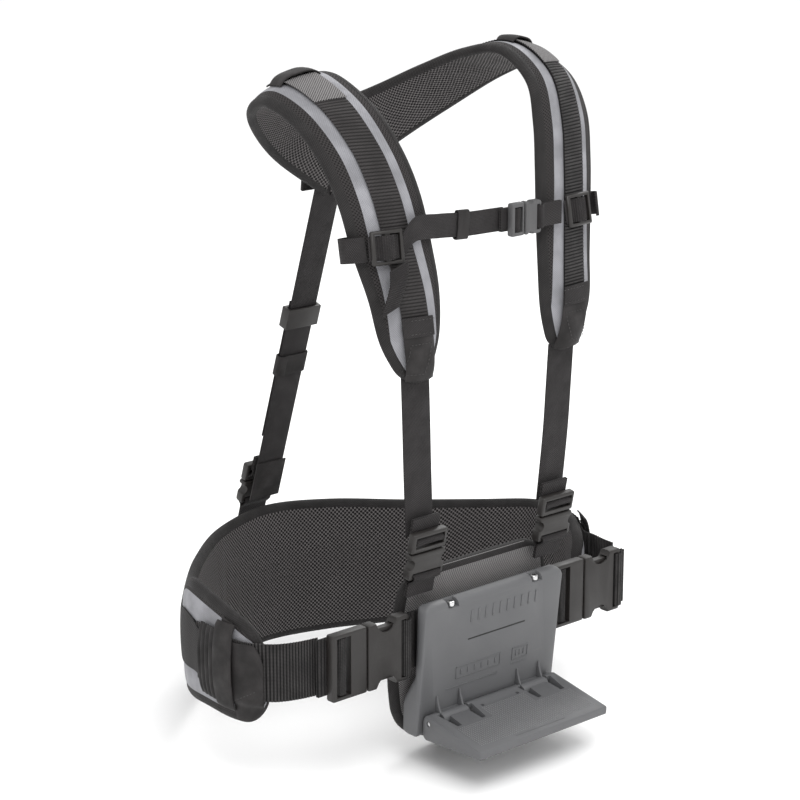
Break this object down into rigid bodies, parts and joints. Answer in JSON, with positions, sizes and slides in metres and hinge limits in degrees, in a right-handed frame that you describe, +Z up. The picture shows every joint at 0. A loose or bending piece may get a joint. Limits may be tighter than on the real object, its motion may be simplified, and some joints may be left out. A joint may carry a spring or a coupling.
{
  "type": "padded tool belt with shoulder harness",
  "caption": "Padded hip belt with a shoulder harness, joined by straps with side-release buckles, and a plate in front that carries a fold-down tool rest.",
  "frame": {"origin": "on the wearer's vertical axis, at the middle of the belt webbing's height", "axes": "+Z up along the wearer, -Y the way the wearer faces, +X towards the wearer's left"},
  "size_m": [0.4459, 0.4015, 0.5924],
  "materials": {
    "pad_fabric": "padded grey woven polyester with black binding",
    "mesh_fabric": "dark grey spacer mesh",
    "webbing": "black woven polypropylene webbing",
    "buckle_plastic": "dark satin acetal",
    "chest_buckle_plastic": "grey satin acetal",
    "plate_plastic": "grey fine-textured moulded nylon",
    "steel": "bright zinc-plated"
  },
  "bodies": {
    "harness": {"back_loop": "webbing", "back_strap": "webbing", "back_strap_return": "webbing", "back_strap_socket": "buckle_plastic", "back_yoke": "webbing", "belly_pad": "pad_fabric", "hinge_pin": "steel", "hip_pad": "pad_fabric", "hip_pad_lining": "mesh_fabric", "left_anchor_loop": "webbing", "left_belt_latch": "buckle_plastic", "left_belt_loop": "webbing", "left_belt_webbing": "webbing", "left_front_strap": "webbing", "left_plate_screw": "steel", "left_pocket_panel": "webbing", "left_shoulder_elastic": "webbing", "left_shoulder_lining": "mesh_fabric", "left_shoulder_pad": "pad_fabric", "left_shoulder_webbing": "webbing", "left_side_webbing": "webbing", "left_strap_socket": "buckle_plastic", "right_anchor_loop": "webbing", "right_belt_loop": "webbing", "right_belt_socket": "buckle_plastic", "right_belt_webbing": "webbing", "right_front_strap": "webbing", "right_plate_screw": "steel", "right_pocket_panel": "webbing", "right_shoulder_elastic": "webbing", "right_shoulder_lining": "mesh_fabric", "right_shoulder_pad": "pad_fabric", "right_shoulder_webbing": "webbing", "right_side_webbing": "webbing", "right_strap_socket": "buckle_plastic", "tool_plate": "plate_plastic"},
    "tool_rest_body": {"tool_rest": "plate_plastic"},
    "right_belt_release": {"right_belt_latch": "buckle_plastic", "right_belt_wrap": "webbing"},
    "left_belt_release": {"left_belt_socket": "buckle_plastic", "left_belt_wrap": "webbing"},
    "right_strap_release": {"right_strap_latch": "buckle_plastic", "right_strap_wrap": "webbing"},
    "left_strap_release": {"left_strap_latch": "buckle_plastic", "left_strap_wrap": "webbing"},
    "back_strap_release": {"back_strap_latch": "buckle_plastic", "back_strap_wrap": "webbing"},
    "back_slide_body": {"back_slide": "buckle_plastic"},
    "back_keeper_body": {"back_keeper": "webbing"},
    "chest_strap": {"right_chest_adjuster": "buckle_plastic", "left_chest_adjuster": "buckle_plastic", "right_pad_wrap": "webbing", "left_pad_wrap": "webbing", "right_chest_webbing": "webbing", "left_chest_webbing": "webbing", "chest_socket": "chest_buckle_plastic", "chest_tail": "webbing"},
    "chest_release": {"chest_latch": "chest_buckle_plastic", "chest_wrap": "webbing"},
    "chest_keeper_body": {"chest_keeper": "webbing"}
  },
  "joints": [
    {"name": "rest_fold", "type": "hinge", "parent": "harness", "child": "tool_rest_body", "pos_m": [0, -0.1655, -0.0745], "axis": [-1, 0, 0], "range_deg": [0, 92]},
    {"name": "right_belt_pull", "type": "slide", "parent": "harness", "child": "right_belt_release", "axis": [-1, 0, 0], "range_m": [0, 0.036]},
    {"name": "left_belt_pull", "type": "slide", "parent": "harness", "child": "left_belt_release", "axis": [1, 0, 0], "range_m": [0, 0.036]},
    {"name": "right_strap_pull", "type": "slide", "parent": "harness", "child": "right_strap_release", "axis": [0, -0.2, 0.9798], "range_m": [0, 0.016]},
    {"name": "left_strap_pull", "type": "slide", "parent": "harness", "child": "left_strap_release", "axis": [0, -0.2, 0.9798], "range_m": [0, 0.016]},
    {"name": "back_strap_pull", "type": "slide", "parent": "harness", "child": "back_strap_release", "axis": [0, -0.308, 0.9514], "range_m": [0, 0.016]},
    {"name": "back_slide_move", "type": "slide", "parent": "harness", "child": "back_slide_body", "axis": [0, -0.308, 0.9514], "range_m": [-0.015, 0.02]},
    {"name": "back_keeper_move", "type": "slide", "parent": "harness", "child": "back_keeper_body", "axis": [0, -0.308, 0.9514], "range_m": [-0.012, 0.012]},
    {"name": "chest_strap_height", "type": "slide", "parent": "harness", "child": "chest_strap", "axis": [0, 0.1701, 0.9854], "range_m": [-0.008, 0.008]},
    {"name": "chest_pull", "type": "slide", "parent": "chest_strap", "child": "chest_release", "axis": [-1, 0, 0], "range_m": [0, 0.01]},
    {"name": "chest_keeper_move", "type": "slide", "parent": "chest_strap", "child": "chest_keeper_body", "axis": [0.9955, 0.0637, -0.0697], "range_m": [-0.006, 0.006]}
  ]
}
